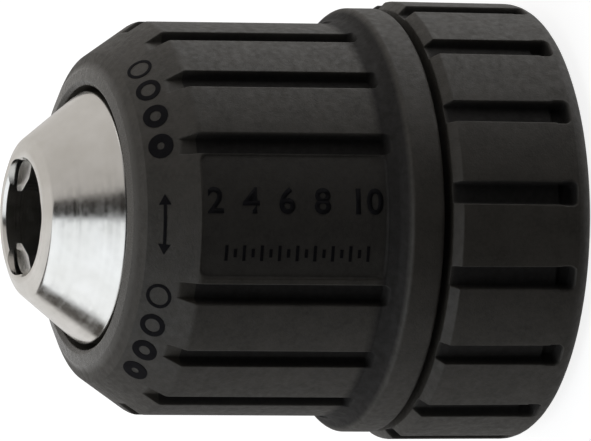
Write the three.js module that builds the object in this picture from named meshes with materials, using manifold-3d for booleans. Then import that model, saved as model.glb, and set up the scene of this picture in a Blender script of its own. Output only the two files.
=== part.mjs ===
// Keyless drill chuck, two sleeves, 10 mm capacity.
//
// Frame: millimetres, the chuck stands on its rear face at the origin and +Z runs along its
// axis to the nose. Angles are measured round Z from +X.
//
// How it works: the chuck body screws on a drill spindle. Three jaws slide in slanting bores
// of the body. A split nut, held together by a band and keyed to the front sleeve, turns
// round the body's waist and drives the toothed backs of the jaws. The nut leans on a ball
// thrust bearing on the body's shoulder. The rear sleeve sits fixed on the body's hub.

import * as THREE from 'three';
import { mergeVertices } from 'three/addons/utils/BufferGeometryUtils.js';
import Module from 'manifold-3d';

const wasm = await Module();
wasm.setup();

// ---- driving dimensions, mm ----

// clearances
const RUNNING_GAP = 0.3; // between pieces that turn or slide on each other
const SEAT_GAP = 0.05; // between coaxial pieces that are pressed or stacked together
const SLEEVE_GAP = 0.8; // visible gap between the two sleeves
const CUT_MARGIN = 1; // how far a cutting tool stands out of what it cuts

// jaws
const JAW_COUNT = 3;
const JAW_RADIUS = 2.6;
const JAW_SLANT = 16 * Math.PI / 180; // between a jaw and the chuck's axis
const JAW_AXIS_RADIUS = 3; // jaw axis to chuck axis, at the nose face
const JAW_LENGTH = 29.9; // along the jaw
const JAW_TIP_INSET = 1; // tip behind the nose face at rest
const JAW_GRIP_RADIUS = 3.6; // grip face to the chuck's axis at rest
const JAW_GRIP_WIDTH = 2.4; // flat of the grip face
const JAW_OPEN_TRAVEL = 5; // from rest to fully open, along the jaw
const TOOTH_PITCH = 1.5;
const TOOTH_DEPTH = 0.7;
const TOOTH_COUNT = 12;
const TOOTH_START = 1.2; // first notch from the jaw's rear end

// body
const NOSE_FACE_Z = 51.7; // whole length, rear face to nose face
const NOSE_CONE_LENGTH = 6.5;
const NOSE_EDGE_RADIUS = 7.65; // where the cone meets the nose's rounded edge
const NOSE_EDGE_ROUND = 1.1;
const TOOL_BORE_RADIUS = 5.5;
const TOOL_BORE_DEPTH = 31.7;
const SCREW_HOLE_RADIUS = 2.9;
const SPINDLE_BORE_RADIUS = 4.3; // minor radius of the 3/8-24 thread
const SPINDLE_BORE_DEPTH = 15;
const BARREL_WALL = 2; // body left outside the jaw bores at the barrel's rear end
const BARREL_LENGTH = 8.2; // plain cylinder behind the nose cone
const HUB_RADIUS = 13.5;
const SHOULDER_LENGTH = 6;
const SHOULDER_MARGIN = 0.85; // shoulder radius beyond the bearing races

// bearing
const RACE_THICKNESS = 0.7;
const BALL_RADIUS = 0.85;
const BALL_COUNT = 12;
const BALL_CLEARANCE = 0.1; // ball to race, and ball to cage pocket
const CAGE_WALL = 0.3; // beside a ball pocket
const CAGE_THICKNESS = 0.6;

// nut and band
const NUT_LENGTH = 5;
const NUT_WALL = 2.43; // at its rear end, where the bore is widest
const BAND_THICKNESS = 1.7;
const BAND_BORE_CLEARANCE = 0.1;
const LUG_COUNT = 4;
const LUG_WIDTH = 3;
const LUG_HEIGHT = 0.9;

// retaining ring
const RING_BEHIND_BORE_STEP = 0.3; // ring front face to the sleeve's inner step
const RING_THICKNESS = 0.8;
const RING_HEIGHT = 2.4; // above the barrel
const RING_GROOVE_DEPTH = 0.95;
const RING_OPENING = 6;

// front sleeve
const BARREL_GAP_AT_MOUTH = 0.53;
const SLEEVE_WALL = 2.55;
const MOUTH_LIP_HEIGHT = 3.15; // bevelled lip, measured outwards from the mouth
const MOUTH_LIP_DROP = 1.1;
const FRONT_CONE_LENGTH = 4.7;
const FRONT_SLEEVE_LENGTH = 29.8;
const SLEEVE_PAST_CONE_FOOT = 0.3; // mouth in front of the foot of the nose cone
const FLANGE_HEIGHT = 1.5;
const FLANGE_LENGTH = 3.2;
const FLARE_LENGTH = 1.9;
const EDGE_ROUND = 0.4;

// rear sleeve and its bush
const REAR_SLEEVE_STEP = 0.7; // rear sleeve's radius beyond the front sleeve's flange
const REAR_SLEEVE_TAPER = 0.1;
const REAR_SLEEVE_SETBACK = 0.6; // rear edge in front of the body's rear face
const REAR_SLEEVE_CHAMFER = 0.8;
const REAR_SLEEVE_ROUND = 1.3;
const REAR_LIP_LENGTH = 1;
const BUSH_WALL = 2.5;
const BUSH_END_INSET = 0.6; // bush front face behind the rear sleeve's front face

// grip grooves
const GROOVE_COUNT = 16;
const PANEL_DIRECTION = -Math.PI / 2; // the smooth panel that takes one groove's place
const FRONT_GROOVE_WIDTH = 2.1;
const FRONT_GROOVE_DEPTH = 1;
const REAR_GROOVE_WIDTH = 2.3;
const REAR_GROOVE_DEPTH = 1.1;
const REAR_GROOVE_OFFSET = 7.5 * Math.PI / 180; // against the front sleeve's grooves
const REAR_GROOVE_END = 1.95; // smooth rim left at the rear

// roundness of turned pieces
const SLEEVE_FACETS = 64;
const RING_FACETS = 40;
const JAW_FACETS = 20;
const GROOVE_FACETS = 12;
const BALL_FACETS = 8;
const EDGE_STEPS = 3; // steps of a rounded edge

// ---- dimensions that follow ----

const jawTangent = Math.tan(JAW_SLANT);
const jawAxisRadiusAt = (z) => JAW_AXIS_RADIUS + (NOSE_FACE_Z - z) * jawTangent;
const jawBackRadiusAt = (z) => jawAxisRadiusAt(z) + JAW_RADIUS / Math.cos(JAW_SLANT);

// stack of the nut, the bearing and the shoulder, from the nose backwards
const coneFootZ = NOSE_FACE_Z - NOSE_CONE_LENGTH;
const barrelZ = coneFootZ - BARREL_LENGTH;
const nutEndZ = barrelZ - 2 * RUNNING_GAP;
const nutZ = nutEndZ - NUT_LENGTH;
const frontRaceZ = nutZ - SEAT_GAP - RACE_THICKNESS;
const ballZ = frontRaceZ - BALL_CLEARANCE - BALL_RADIUS;
const rearRaceZ = ballZ - BALL_RADIUS - BALL_CLEARANCE - RACE_THICKNESS;
const shoulderZ = rearRaceZ - SEAT_GAP;
const hubZ = shoulderZ - SHOULDER_LENGTH; // front end of the hub

// radii, from the jaws outwards
const jawBoreRadius = JAW_RADIUS + RUNNING_GAP;
const nutBoreRearRadius = jawBackRadiusAt(nutZ) + RUNNING_GAP;
const nutBoreFrontRadius = jawBackRadiusAt(nutEndZ) + RUNNING_GAP;
const waistRadius = nutBoreFrontRadius - RUNNING_GAP;
const barrelRadius = jawBackRadiusAt(barrelZ) + RUNNING_GAP + BARREL_WALL;
const raceInnerRadius = jawBackRadiusAt(shoulderZ) + RUNNING_GAP;
const pocketRadius = BALL_RADIUS + BALL_CLEARANCE;
const ballPitchRadius = raceInnerRadius + CAGE_WALL + pocketRadius;
const raceOuterRadius = ballPitchRadius + pocketRadius + CAGE_WALL;
const shoulderRadius = raceOuterRadius + SHOULDER_MARGIN;
const nutRadius = nutBoreRearRadius + NUT_WALL;
const bandBoreRadius = nutRadius + BAND_BORE_CLEARANCE;
const bandRadius = bandBoreRadius + BAND_THICKNESS;
const sleeveBoreRadius = Math.max(shoulderRadius, bandRadius) + RUNNING_GAP;

// front sleeve
const mouthRadius = barrelRadius + BARREL_GAP_AT_MOUTH;
const mouthZ = coneFootZ + SLEEVE_PAST_CONE_FOOT;
const frontSleeveZ = mouthZ - FRONT_SLEEVE_LENGTH;
const barrelSleeveRadius = sleeveBoreRadius + SLEEVE_WALL;
const flangeRadius = barrelSleeveRadius + FLANGE_HEIGHT;
const lipRadius = mouthRadius + MOUTH_LIP_HEIGHT;
const lipZ = mouthZ - MOUTH_LIP_DROP;
const frontConeZ = lipZ - FRONT_CONE_LENGTH;
const boreStepZ = Math.max(frontConeZ, nutEndZ + RUNNING_GAP);
const flareZ = frontSleeveZ + FLANGE_LENGTH;
const frontGrooveZ = flareZ + FLARE_LENGTH;

// retaining ring
const ringZ = boreStepZ - RING_BEHIND_BORE_STEP - RING_THICKNESS;
const ringGrooveRadius = barrelRadius - RING_GROOVE_DEPTH;

// rear sleeve
const rearSleeveRadius = flangeRadius + REAR_SLEEVE_STEP;
const rearSleeveEndZ = frontSleeveZ - SLEEVE_GAP;
const bushBoreRadius = HUB_RADIUS + SEAT_GAP;
const bushRadius = bushBoreRadius + BUSH_WALL;
const rearSleeveBoreRadius = bushRadius + SEAT_GAP;
const bushZ = REAR_SLEEVE_SETBACK + REAR_LIP_LENGTH + SEAT_GAP;

// ---- materials ----

const finish = (color, roughness, metalness) =>
  new THREE.MeshStandardMaterial({ color, roughness, metalness });
const plastic = finish(0x35322f, 0.6, 0);
const turnedSteel = finish(0xb9b4aa, 0.3, 1);
const hardenedSteel = finish(0x8f8f8f, 0.35, 1);
const springSteel = finish(0x3b3b3d, 0.4, 1);
const cageBrass = finish(0xb08d4a, 0.45, 1);

// ---- helpers ----

// A closed mesh as a solid: shared vertices merged, collapsed triangles dropped, faces out.
function solid(geometry) {
  const bare = new THREE.BufferGeometry();
  bare.setAttribute('position', geometry.getAttribute('position').clone());
  if (geometry.index) bare.setIndex(geometry.index.clone());
  const merged = mergeVertices(bare, 1e-4);
  const position = merged.getAttribute('position');
  const corner = [0, 1, 2].map(() => new THREE.Vector3());
  const triangles = [];
  let volume = 0;
  for (let i = 0; i < merged.index.count; i += 3) {
    const ids = [0, 1, 2].map((k) => merged.index.getX(i + k));
    if (new Set(ids).size < 3) continue;
    ids.forEach((id, k) => corner[k].fromBufferAttribute(position, id));
    volume += corner[0].dot(corner[1].clone().cross(corner[2]));
    triangles.push(ids);
  }
  const ordered = volume > 0 ? triangles : triangles.map(([a, b, c]) => [a, c, b]);
  return new wasm.Manifold(new wasm.Mesh({
    numProp: 3,
    vertProperties: new Float32Array(position.array),
    triVerts: new Uint32Array(ordered.flat()),
  }));
}

// A named mesh of a solid.
function piece(name, shape, material) {
  const cut = shape.getMesh();
  const geometry = new THREE.BufferGeometry();
  geometry.setAttribute('position', new THREE.BufferAttribute(cut.vertProperties, 3));
  geometry.setIndex(new THREE.BufferAttribute(cut.triVerts, 1));
  geometry.computeVertexNormals();
  const mesh = new THREE.Mesh(geometry, material);
  mesh.name = name;
  return mesh;
}

// A solid turned round Z from [radius, z] points; an open profile starts and ends on the axis.
function turned(points, facets) {
  const profile = points.map(([radius, z]) => new THREE.Vector2(radius, z));
  return solid(new THREE.LatheGeometry(profile, facets).rotateX(Math.PI / 2));
}

// A ring with a rectangular section.
function ring(inner, outer, z, length, facets) {
  const section = [[inner, z], [outer, z], [outer, z + length], [inner, z + length]];
  return turned([...section, section[0]], facets);
}

// Points of a quarter-like arc in a turned profile, from one angle to another.
function arc(radius, centreRadius, centreZ, from, to, steps) {
  return Array.from({ length: steps + 1 }, (_, k) => {
    const angle = from + (to - from) * k / steps;
    return [centreRadius + radius * Math.cos(angle), centreZ + radius * Math.sin(angle)];
  });
}

// A block whose low corner in X and Z, and whose middle in Y, are given, turned round Z.
function block(x, z, depth, width, height, turn) {
  const box = new THREE.BoxGeometry(depth, width, height);
  box.translate(x + depth / 2, 0, z + height / 2);
  return solid(box.rotateZ(turn));
}

// Everything in a list, cut from a solid.
const without = (shape, tools) => tools.reduce((left, tool) => left.subtract(tool), shape);

const turnsOf = (count, start = 0) =>
  Array.from({ length: count }, (_, k) => start + 2 * Math.PI * k / count);

// ---- chuck body ----

// Centre of a jaw's axis at height z, and the cylinder along it between two lengths that are
// measured forwards from the jaw's rear end at rest.
const jawRearZ = NOSE_FACE_Z - JAW_TIP_INSET - JAW_LENGTH * Math.cos(JAW_SLANT);

function alongJaw(geometry) {
  geometry.rotateY(-JAW_SLANT);
  return geometry.translate(jawAxisRadiusAt(jawRearZ), 0, jawRearZ);
}

function jawCylinder(radius, from, to) {
  const rod = new THREE.CylinderGeometry(radius, radius, to - from, JAW_FACETS);
  rod.rotateX(Math.PI / 2).translate(0, 0, (from + to) / 2);
  return alongJaw(rod);
}

function chuckBody() {
  const faceRadius = NOSE_EDGE_RADIUS - NOSE_EDGE_ROUND;
  const coneSlant = Math.atan2(barrelRadius - NOSE_EDGE_RADIUS, NOSE_CONE_LENGTH);
  const edge = arc(NOSE_EDGE_ROUND, faceRadius, NOSE_FACE_Z - NOSE_EDGE_ROUND, coneSlant,
    Math.PI / 2, EDGE_STEPS);
  const outline = [
    [SPINDLE_BORE_RADIUS, 0],
    [HUB_RADIUS, 0],
    [HUB_RADIUS, hubZ],
    [shoulderRadius, hubZ],
    [shoulderRadius, shoulderZ],
    [waistRadius, shoulderZ],
    [waistRadius, barrelZ],
    [barrelRadius, barrelZ],
    [barrelRadius, ringZ - SEAT_GAP],
    [ringGrooveRadius, ringZ - SEAT_GAP],
    [ringGrooveRadius, ringZ + RING_THICKNESS + SEAT_GAP],
    [barrelRadius, ringZ + RING_THICKNESS + SEAT_GAP],
    [barrelRadius, coneFootZ],
    ...edge,
    [TOOL_BORE_RADIUS, NOSE_FACE_Z],
    [TOOL_BORE_RADIUS, NOSE_FACE_Z - TOOL_BORE_DEPTH],
    [SCREW_HOLE_RADIUS, NOSE_FACE_Z - TOOL_BORE_DEPTH],
    [SCREW_HOLE_RADIUS, SPINDLE_BORE_DEPTH],
    [SPINDLE_BORE_RADIUS, SPINDLE_BORE_DEPTH],
  ];
  const blank = turned([...outline, outline[0]], SLEEVE_FACETS);
  const rearEnd = -JAW_OPEN_TRAVEL - RUNNING_GAP;
  const frontEnd = JAW_LENGTH + 2 * JAW_RADIUS;
  const bores = turnsOf(JAW_COUNT, PANEL_DIRECTION).map((turn) =>
    solid(jawCylinder(jawBoreRadius, rearEnd, frontEnd).rotateZ(turn)));
  return without(blank, bores);
}

// ---- jaws ----

// The notches between the teeth, as one comb that reaches into the jaw's back.
function toothComb() {
  const comb = new THREE.Shape();
  const root = JAW_RADIUS - TOOTH_DEPTH;
  const out = JAW_RADIUS + CUT_MARGIN;
  const crest = TOOTH_PITCH * 0.25;
  comb.moveTo(out, TOOTH_START - crest);
  for (let k = 0; k < TOOTH_COUNT; k += 1) {
    const z = TOOTH_START + k * TOOTH_PITCH;
    comb.lineTo(JAW_RADIUS, z - crest);
    comb.lineTo(root, z);
    comb.lineTo(root, z + crest);
    comb.lineTo(JAW_RADIUS, z + 2 * crest);
    if (k < TOOTH_COUNT - 1) comb.lineTo(JAW_RADIUS + RUNNING_GAP, z + 2 * crest);
    if (k < TOOTH_COUNT - 1) comb.lineTo(JAW_RADIUS + RUNNING_GAP, z + 3 * crest);
  }
  comb.lineTo(out, TOOTH_START + (TOOTH_COUNT - 1) * TOOTH_PITCH + 2 * crest);
  const width = 2 * (JAW_RADIUS + CUT_MARGIN);
  const bar = new THREE.ExtrudeGeometry(comb, { depth: width, bevelEnabled: false });
  return bar.translate(0, 0, -width / 2).rotateX(Math.PI / 2);
}

// What is left of a jaw beside its two slanting grip faces and its squared tip.
function jawEnvelope() {
  const half = JAW_GRIP_WIDTH / 2;
  const side = JAW_RADIUS + CUT_MARGIN;
  const slope = Math.tan(Math.PI / 2 - Math.PI / JAW_COUNT);
  const far = jawBackRadiusAt(0);
  const plan = new THREE.Shape();
  plan.moveTo(JAW_GRIP_RADIUS, -half);
  plan.lineTo(JAW_GRIP_RADIUS + (side - half) * slope, -side);
  plan.lineTo(far, -side);
  plan.lineTo(far, side);
  plan.lineTo(JAW_GRIP_RADIUS + (side - half) * slope, side);
  plan.lineTo(JAW_GRIP_RADIUS, half);
  return new THREE.ExtrudeGeometry(plan, {
    depth: NOSE_FACE_Z - JAW_TIP_INSET,
    bevelEnabled: false,
  });
}

function jaw() {
  const rod = solid(jawCylinder(JAW_RADIUS, 0, JAW_LENGTH + 2 * JAW_RADIUS));
  return rod.subtract(solid(alongJaw(toothComb()))).intersect(solid(jawEnvelope()));
}

// ---- bearing ----

function ballCage() {
  const z = ballZ - CAGE_THICKNESS / 2;
  const strip = ring(raceInnerRadius, raceOuterRadius, z, CAGE_THICKNESS, RING_FACETS);
  const pockets = turnsOf(BALL_COUNT).map((turn) => {
    const hole = new THREE.CylinderGeometry(pocketRadius, pocketRadius, 2 * BALL_RADIUS,
      BALL_FACETS);
    hole.rotateX(Math.PI / 2).translate(ballPitchRadius, 0, ballZ);
    return solid(hole.rotateZ(turn));
  });
  return without(strip, pockets);
}

function bearingBalls() {
  const shape = new THREE.SphereGeometry(BALL_RADIUS, BALL_FACETS, BALL_FACETS / 2);
  const ball = solid(shape.rotateX(Math.PI / 2));
  return turnsOf(BALL_COUNT).map((turn, k) => {
    const mesh = piece(`bearing_ball_${k + 1}`, ball, hardenedSteel);
    mesh.position.set(ballPitchRadius * Math.cos(turn), ballPitchRadius * Math.sin(turn), ballZ);
    return mesh;
  });
}

const race = (z) => ring(raceInnerRadius, raceOuterRadius, z, RACE_THICKNESS, RING_FACETS);

// ---- split nut and its band ----

function nutHalf(side) {
  const section = [
    [nutBoreRearRadius, nutZ],
    [nutRadius, nutZ],
    [nutRadius, nutEndZ],
    [nutBoreFrontRadius, nutEndZ],
  ];
  const whole = turned([...section, section[0]], RING_FACETS);
  const away = 2 * nutRadius;
  const half = new THREE.BoxGeometry(2 * away, away, 2 * NUT_LENGTH);
  half.translate(0, side * (away / 2 + RUNNING_GAP / 2), nutZ + NUT_LENGTH / 2);
  return whole.intersect(solid(half));
}

const lugTurns = turnsOf(LUG_COUNT, PANEL_DIRECTION + Math.PI / GROOVE_COUNT);

function nutBand() {
  const hoop = ring(bandBoreRadius, bandRadius, nutZ, NUT_LENGTH, RING_FACETS);
  const root = (bandBoreRadius + bandRadius) / 2;
  const depth = sleeveBoreRadius + LUG_HEIGHT - RUNNING_GAP - root;
  return lugTurns.reduce((shape, turn) =>
    shape.add(block(root, nutZ, depth, LUG_WIDTH, NUT_LENGTH, turn)), hoop);
}

// ---- retaining ring ----

function retainingRing() {
  const inner = ringGrooveRadius + SEAT_GAP;
  const hoop = ring(inner, barrelRadius + RING_HEIGHT, ringZ, RING_THICKNESS, RING_FACETS);
  const opening = block(0, ringZ - CUT_MARGIN, 2 * barrelRadius, RING_OPENING,
    RING_THICKNESS + 2 * CUT_MARGIN, Math.PI / 2);
  return hoop.subtract(opening);
}

// ---- sleeves ----

// A grip groove with a round bottom, along the outside of a sleeve.
function gripGroove(width, depth, surfaceRadius, fromZ, toZ, turn) {
  const radius = (width * width / 4 + depth * depth) / (2 * depth);
  const rod = new THREE.CylinderGeometry(radius, radius, toZ - fromZ, GROOVE_FACETS);
  rod.rotateX(Math.PI / 2);
  rod.translate(surfaceRadius - depth + radius, 0, (fromZ + toZ) / 2);
  return solid(rod.rotateZ(turn));
}

function frontSleeve() {
  const flare = Array.from({ length: EDGE_STEPS + 1 }, (_, k) => {
    const sweep = k / EDGE_STEPS * Math.PI / 2;
    return [
      flangeRadius - FLANGE_HEIGHT * Math.sin(sweep),
      flareZ + FLARE_LENGTH * (1 - Math.cos(sweep)),
    ];
  });
  const outline = [
    [sleeveBoreRadius, frontSleeveZ],
    [flangeRadius - EDGE_ROUND, frontSleeveZ],
    [flangeRadius, frontSleeveZ + EDGE_ROUND],
    ...flare,
    [barrelSleeveRadius, frontConeZ],
    [lipRadius, lipZ],
    [mouthRadius, mouthZ],
    [mouthRadius, boreStepZ],
    [sleeveBoreRadius, boreStepZ],
  ];
  const blank = turned([...outline, outline[0]], SLEEVE_FACETS);
  const grooves = turnsOf(GROOVE_COUNT, PANEL_DIRECTION).slice(1).map((turn) =>
    gripGroove(FRONT_GROOVE_WIDTH, FRONT_GROOVE_DEPTH, barrelSleeveRadius, frontGrooveZ,
      mouthZ, turn));
  const keyways = lugTurns.map((turn) =>
    block(shoulderRadius, frontSleeveZ - CUT_MARGIN,
      sleeveBoreRadius + LUG_HEIGHT - shoulderRadius, LUG_WIDTH + 2 * RUNNING_GAP,
      nutEndZ + RUNNING_GAP + CUT_MARGIN - frontSleeveZ, turn));
  return without(without(blank, grooves), keyways);
}

function rearSleeve() {
  const rearRadius = rearSleeveRadius - REAR_SLEEVE_TAPER;
  const rearZ = REAR_SLEEVE_SETBACK;
  const round = arc(REAR_SLEEVE_ROUND, rearRadius - REAR_SLEEVE_ROUND,
    rearZ + REAR_SLEEVE_ROUND, -Math.PI / 2, 0, EDGE_STEPS);
  const outline = [
    [bushBoreRadius + RUNNING_GAP, rearZ],
    ...round,
    [rearSleeveRadius, rearSleeveEndZ - REAR_SLEEVE_CHAMFER],
    [rearSleeveRadius - REAR_SLEEVE_CHAMFER, rearSleeveEndZ],
    [rearSleeveBoreRadius, rearSleeveEndZ],
    [rearSleeveBoreRadius, rearZ + REAR_LIP_LENGTH],
    [bushBoreRadius + RUNNING_GAP, rearZ + REAR_LIP_LENGTH],
  ];
  const blank = turned([...outline, outline[0]], SLEEVE_FACETS);
  const start = PANEL_DIRECTION + REAR_GROOVE_OFFSET;
  const grooves = turnsOf(GROOVE_COUNT, start).map((turn) =>
    gripGroove(REAR_GROOVE_WIDTH, REAR_GROOVE_DEPTH, rearSleeveRadius,
      rearZ + REAR_GROOVE_END, rearSleeveEndZ + CUT_MARGIN, turn));
  return without(blank, grooves);
}

function rearSleeveBush() {
  const length = rearSleeveEndZ - BUSH_END_INSET - bushZ;
  return ring(bushBoreRadius, bushRadius, bushZ, length, SLEEVE_FACETS);
}

// ---- the chuck ----

const chuck = new THREE.Group();
chuck.add(piece('chuck_body', chuckBody(), turnedSteel));

const jawShape = jaw();
turnsOf(JAW_COUNT, PANEL_DIRECTION).forEach((turn, k) => {
  const station = new THREE.Group();
  station.rotation.z = turn;
  station.add(piece(`jaw_${k + 1}`, jawShape, hardenedSteel));
  chuck.add(station);
});

chuck.add(piece('nut_half_1', nutHalf(1), hardenedSteel));
chuck.add(piece('nut_half_2', nutHalf(-1), hardenedSteel));
chuck.add(piece('nut_band', nutBand(), springSteel));
chuck.add(piece('thrust_race_rear', race(rearRaceZ), hardenedSteel));
chuck.add(piece('thrust_race_front', race(frontRaceZ), hardenedSteel));
chuck.add(piece('ball_cage', ballCage(), cageBrass));
bearingBalls().forEach((ball) => chuck.add(ball));
chuck.add(piece('sleeve_retaining_ring', retainingRing(), springSteel));
chuck.add(piece('front_sleeve', frontSleeve(), plastic));
chuck.add(piece('rear_sleeve', rearSleeve(), plastic));
chuck.add(piece('rear_sleeve_bush', rearSleeveBush(), hardenedSteel));

export default chuck;
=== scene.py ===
import math

import bpy
import numpy as np
from mathutils import Matrix, Vector


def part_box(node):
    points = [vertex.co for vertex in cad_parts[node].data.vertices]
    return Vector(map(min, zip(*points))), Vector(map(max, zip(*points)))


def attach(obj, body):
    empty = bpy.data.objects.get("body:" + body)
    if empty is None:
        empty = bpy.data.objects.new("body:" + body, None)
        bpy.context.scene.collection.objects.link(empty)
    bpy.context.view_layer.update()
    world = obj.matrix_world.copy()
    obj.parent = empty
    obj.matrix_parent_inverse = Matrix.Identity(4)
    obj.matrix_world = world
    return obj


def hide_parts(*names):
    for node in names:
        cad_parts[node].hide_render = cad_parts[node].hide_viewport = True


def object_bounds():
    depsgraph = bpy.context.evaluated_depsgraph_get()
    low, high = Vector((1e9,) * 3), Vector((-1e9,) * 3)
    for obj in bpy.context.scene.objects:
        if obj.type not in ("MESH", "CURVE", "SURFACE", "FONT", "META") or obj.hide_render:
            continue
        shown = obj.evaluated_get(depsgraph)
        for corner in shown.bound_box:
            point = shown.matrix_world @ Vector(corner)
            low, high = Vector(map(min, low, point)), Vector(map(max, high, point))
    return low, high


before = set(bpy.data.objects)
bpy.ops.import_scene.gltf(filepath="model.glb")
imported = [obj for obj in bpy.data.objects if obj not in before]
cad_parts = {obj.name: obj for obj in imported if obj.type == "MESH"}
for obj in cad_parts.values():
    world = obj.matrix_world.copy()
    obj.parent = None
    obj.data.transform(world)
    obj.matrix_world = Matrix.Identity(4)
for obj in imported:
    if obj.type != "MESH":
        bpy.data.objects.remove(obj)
cad_box = [list(corner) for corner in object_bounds()]

# A keyless drill chuck that stands on its rear face, +Z along its axis to the nose.
# Shapes are worked out in millimetres and put into the meshes in metres.
MM = 0.001
FRONT = math.radians(-90)  # direction of jaw 1 and of the marked panel, seen along Z


# ---- places and sizes taken from the frame, in millimetres ----

def span(node):
    """Low and high corners of a node's box, in millimetres."""
    low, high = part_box(node)
    return np.array(low) / MM, np.array(high) / MM


body_high = span("chuck_body")[1]
sleeve_low, sleeve_high = span("front_sleeve")
rear_low, rear_high = span("rear_sleeve")
shoulder_radius = body_high[0]
nose_z = body_high[2]
flange_radius = sleeve_high[0]
sleeve_z, mouth_z = sleeve_low[2], sleeve_high[2]
rear_z, rear_end_z = rear_low[2], rear_high[2]
rear_radius = rear_high[0]

# nose and body
CONE_FOOT_Z = nose_z - 6.5
BARREL_Z = CONE_FOOT_Z - 8.2
BARREL_RADIUS = 12.22
WAIST_RADIUS = 10.09
HUB_Z = 22
RING_GROOVE_DEPTH = 0.95
SEAT_GAP = 0.05
NOSE_EDGE_RADIUS = 7.65
NOSE_FACE_RADIUS = 6.45
BORE_CHAMFER = 0.3
TOOL_BORE_RADIUS = 5.5
TOOL_BORE_END_Z = nose_z - 31.7
SCREW_HOLE_RADIUS = 2.9
SOCKET_MINOR_RADIUS = 4.3
SOCKET_MAJOR_RADIUS = 4.76
SOCKET_DEPTH = 15
SOCKET_LEAD_IN = 0.6
SOCKET_MOUTH_CLEARANCE = 0.15
SOCKET_PITCH = 25.4 / 24
THREAD_START = 0.9
THREAD_FADE = 0.5
THREAD_RUN_OUT = 1.6
HUB_RADIUS = 13.5

# jaws
JAW_SLANT = math.radians(16)
JAW_RADIUS = 2.6
JAW_BORE_RADIUS = 2.9
JAW_AXIS_AT_NOSE = 3.0
JAW_LENGTH = 29.9
JAW_OPEN_TRAVEL = 5
JAW_TIP_Z = span("jaw_1")[1][2]
JAW_REAR_Z = JAW_TIP_Z - JAW_LENGTH * math.cos(JAW_SLANT)
JAW_AXIS_AT_REAR = JAW_AXIS_AT_NOSE + (nose_z - JAW_REAR_Z) * math.tan(JAW_SLANT)
JAW_TURNS = [FRONT + k * 2 * math.pi / 3 for k in range(3)]
JAW_CHAMFER = 0.35
JAW_END_GAP = 0.3
JAW_EDGE_BLEND = 0.12
BORE_PAST_NOSE = 6
GRIP_RADIUS = 3.6
GRIP_HALF_WIDTH = 1.2
TOOTH_PITCH = 1.5
TOOTH_DEPTH = 0.7
FIRST_TOOTH = 1.2
TEETH_START = 0.7
TOOTHED_LENGTH = 18.4
TIP_CENTRE_SHIFT = 1.4
CENTRE_SHIFT_LENGTH = 7

# sleeves
MOUTH_RADIUS = 12.75
BEVEL_RADIUS = 14.3
BARREL_SLEEVE_RADIUS = flange_radius - 1.5
LIP_RADIUS = 15.9
LIP_Z = mouth_z - 1.1
SHOULDER_Z = mouth_z - 5.8
FLANGE_Z = sleeve_z + 3.2
FLARE_Z = FLANGE_Z + 1.9
SLEEVE_BORE_RADIUS = 17.2
PITCH = math.radians(22.5)
FRONT_GROOVE = 1.8
FRONT_GROOVE_DEPTH = 1.0
GROOVE_CORNER = 0.35
GROOVE_WALL_SLOPE = 6
GROOVE_WALL_FOOT = 0.02
GROOVE_EDGE_BLEND = 0.16
REAR_GROOVE = 2.0
REAR_GROOVE_DEPTH = 0.8
REAR_GROOVE_DEEPENING = 0.25
REAR_GROOVE_START = 1.95
POCKET_DEPTH = 0.4
POCKET_LENGTH = 1.45
REAR_OFFSET = math.radians(-7.5)
REAR_TAPER = 0.1
REAR_ROUNDING = 2.0
REAR_CHAMFER = 0.8
REAR_LIP_THICKNESS = 1
REAR_LIP_WIDTH = 2.15
BUSH_CLEARANCE = 0.06
PANEL_LOW, PANEL_HIGH = math.radians(-19), math.radians(17)
PANEL_DEPTH = 0.22

# markings
MARK_THICKNESS = 0.045
MARK_SINK = 0.02
MARK_SLANT = 1.75  # from the lip down the cone's slope to the middle of the signs
SIGN_SIZE = 2.5
SIGN_SPACING = 3.3
# holes as shares of a sign: away from the arrow the opening row grows and the closing row shrinks
SIGN_HOLES = [0.75, 0.6, 0.45, 0.3]


# ---- outlines ----

def rounded(corners, steps=6):
    """Outline through (radius, z, fillet) corners: each corner is replaced by the arc of that
    fillet radius which is tangent to both of its sides, in equal steps."""
    points = []
    count = len(corners)
    for i, (radius, z, fillet) in enumerate(corners):
        here = np.array([radius, z], float)
        if fillet <= 0:
            points.append(here[None])
            continue
        back = np.array(corners[i - 1][:2]) - here
        ahead = np.array(corners[(i + 1) % count][:2]) - here
        back = back / np.linalg.norm(back)
        ahead = ahead / np.linalg.norm(ahead)
        half = math.acos(np.clip(back @ ahead, -1, 1)) / 2
        middle = (back + ahead) / np.linalg.norm(back + ahead)
        centre = here + middle * fillet / math.sin(half)
        start = here + back * fillet / math.tan(half) - centre
        end = here + ahead * fillet / math.tan(half) - centre
        share = np.linspace(0, 1, steps + 1)[:, None]
        sweep = math.pi - 2 * half
        weight_start = np.sin((1 - share) * sweep) / math.sin(sweep)
        weight_end = np.sin(share * sweep) / math.sin(sweep)
        points.append(centre + weight_start * start + weight_end * end)
    return np.concatenate(points)


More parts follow.
